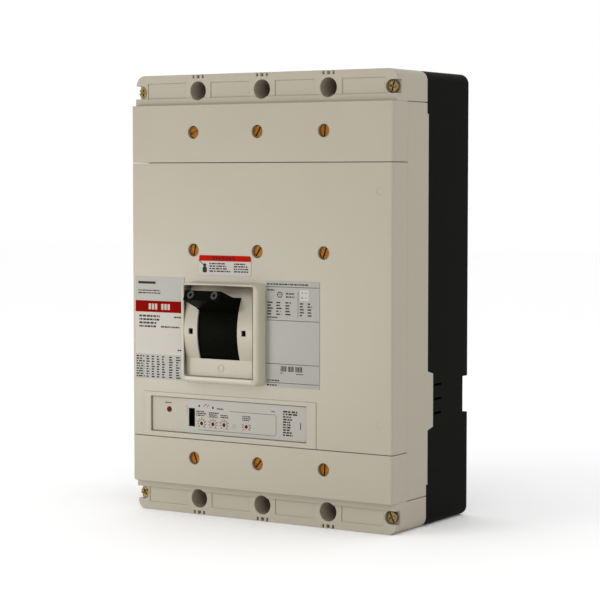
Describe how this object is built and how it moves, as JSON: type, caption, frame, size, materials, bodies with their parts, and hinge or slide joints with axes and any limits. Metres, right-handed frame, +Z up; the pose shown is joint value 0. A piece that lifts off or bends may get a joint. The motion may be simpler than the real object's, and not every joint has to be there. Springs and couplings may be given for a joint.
{
  "type": "molded case circuit breaker",
  "caption": "Tall box-shaped molded case circuit breaker with a rocking lever in a raised frame, a trip unit window below it and cable lugs at both ends.",
  "frame": {"origin": "centre of the flat back face that rests on the mounting panel", "axes": "+X to the right seen from the front, +Y out of the back into the panel, +Z up towards the line end"},
  "size_m": [0.28, 0.1775, 0.406],
  "materials": {
    "shell": "molded, fine texture",
    "base": "molded, fine texture",
    "handle": "molded, satin",
    "brass_screw": "turned",
    "dark_screw": "black oxide",
    "steel": "zinc plated",
    "spring": "drawn wire",
    "copper": "bare copper",
    "contact": "silver alloy",
    "lug": "tin plated",
    "plate": "printed metallised label",
    "label": "printed label",
    "button": "molded",
    "dial": "molded",
    "port": "molded",
    "board": "solder mask",
    "fibre": "vulcanised fibre"
  },
  "bodies": {
    "breaker_case": {"base_housing": "base", "main_cover": "shell", "upper_front_cover": "shell", "accessory_cover": "shell", "lower_front_cover": "shell", "corner_screws": "brass_screw", "upper_cover_screws": "brass_screw", "accessory_cover_screws": "brass_screw", "lower_cover_screws": "brass_screw", "left_rating_plate": "plate", "right_rating_plate": "plate", "handle_label": "label", "handle_escutcheon": "shell", "handle_pivot_studs": "steel", "mechanism_side_plates": "steel", "mechanism_tie_rods": "steel", "cradle": "steel", "cradle_pivot_pin": "steel", "upper_link_pin": "steel", "mechanism_springs": "spring", "latch_pin": "steel", "fixed_contacts": "contact", "line_conductors": "copper", "load_conductors": "copper", "flexible_shunts": "copper", "conductor_screws": "steel", "line_lugs": "lug", "load_lugs": "lug", "line_lug_set_screws": "steel", "load_lug_set_screws": "steel", "arc_chute_plates": "steel", "arc_chute_sides": "fibre", "current_transformers": "base", "trip_unit_case": "shell", "trip_circuit_board": "board", "trip_faceplate": "plate", "test_port": "port", "trip_button_spring": "spring", "trip_actuator": "steel"},
    "handle_assembly": {"handle_lever": "handle", "handle_yoke": "steel", "handle_screws": "dark_screw"},
    "upper_link_assembly": {"upper_links": "steel", "knee_pin": "steel"},
    "crossbar_assembly": {"crossbar": "base", "contact_arms": "copper", "contact_arm_pins": "steel", "moving_contacts": "contact", "lower_link_pin": "steel"},
    "lower_link_assembly": {"lower_links": "steel"},
    "latch_lever": {"latch": "steel"},
    "trip_bar_body": {"trip_bar": "base"},
    "trip_button_body": {"trip_button": "button"},
    "actuator_plunger": {"trip_actuator_plunger": "steel"},
    "dial_1_body": {"dial_1": "dial"},
    "dial_2_body": {"dial_2": "dial"},
    "dial_3_body": {"dial_3": "dial"},
    "dial_4_body": {"dial_4": "dial"}
  },
  "joints": [
    {"name": "handle_throw", "type": "hinge", "parent": "breaker_case", "child": "handle_assembly", "pos_m": [-0.035, -0.081, -0.031], "axis": [1, 0, 0], "range_deg": [0, 35.5], "deforming": ["mechanism_springs"]},
    {"name": "upper_link_fold", "type": "hinge", "parent": "breaker_case", "child": "upper_link_assembly", "pos_m": [-0.035, -0.104, -0.016], "axis": [1, 0, 0], "range_deg": [-20.2, 0]},
    {"name": "crossbar_turn", "type": "hinge", "parent": "breaker_case", "child": "crossbar_assembly", "pos_m": [0, -0.046, 0], "axis": [1, 0, 0], "range_deg": [0, 40.1]},
    {"name": "lower_link_fold", "type": "hinge", "parent": "crossbar_assembly", "child": "lower_link_assembly", "pos_m": [-0.035, -0.064, 0.002], "axis": [1, 0, 0], "range_deg": [-53.4, 0]},
    {"name": "trip_button_press", "type": "slide", "parent": "breaker_case", "child": "trip_button_body", "axis": [0, 1, 0], "range_m": [0, 0.003], "stiffness_N_per_m": 400, "springref_m": -0.0005, "deforming": ["trip_button_spring"]},
    {"name": "trip_bar_turn", "type": "hinge", "parent": "breaker_case", "child": "trip_bar_body", "pos_m": [-0.07, -0.096, -0.084], "axis": [1, 0, 0], "range_deg": [0, 8]},
    {"name": "latch_release", "type": "hinge", "parent": "breaker_case", "child": "latch_lever", "pos_m": [-0.035, -0.11, -0.072], "axis": [1, 0, 0], "range_deg": [0, 4.1]},
    {"name": "actuator_plunger_slide", "type": "slide", "parent": "breaker_case", "child": "actuator_plunger", "axis": [0, 1, 0], "range_m": [0, 0.003]},
    {"name": "dial_1_turn", "type": "hinge", "parent": "breaker_case", "child": "dial_1_body", "pos_m": [-0.062, -0.1379, -0.1168], "axis": [0, -1, 0], "range_deg": [-135, 135]},
    {"name": "dial_2_turn", "type": "hinge", "parent": "breaker_case", "child": "dial_2_body", "pos_m": [-0.0494, -0.1379, -0.1168], "axis": [0, -1, 0], "range_deg": [-135, 135]},
    {"name": "dial_3_turn", "type": "hinge", "parent": "breaker_case", "child": "dial_3_body", "pos_m": [-0.0371, -0.1379, -0.1168], "axis": [0, -1, 0], "range_deg": [-135, 135]},
    {"name": "dial_4_turn", "type": "hinge", "parent": "breaker_case", "child": "dial_4_body", "pos_m": [-0.0126, -0.1379, -0.1168], "axis": [0, -1, 0], "range_deg": [-135, 135]}
  ],
  "couplings": [
    {"joint": "upper_link_fold", "follows": "handle_throw", "ratio": -0.563},
    {"joint": "crossbar_turn", "follows": "handle_throw", "ratio": 1.1268},
    {"joint": "lower_link_fold", "follows": "handle_throw", "ratio": -1.4983},
    {"joint": "trip_bar_turn", "follows": "trip_button_press", "rad_per_m": 45.45},
    {"joint": "latch_release", "follows": "trip_button_press", "rad_per_m": 23.3}
  ]
}
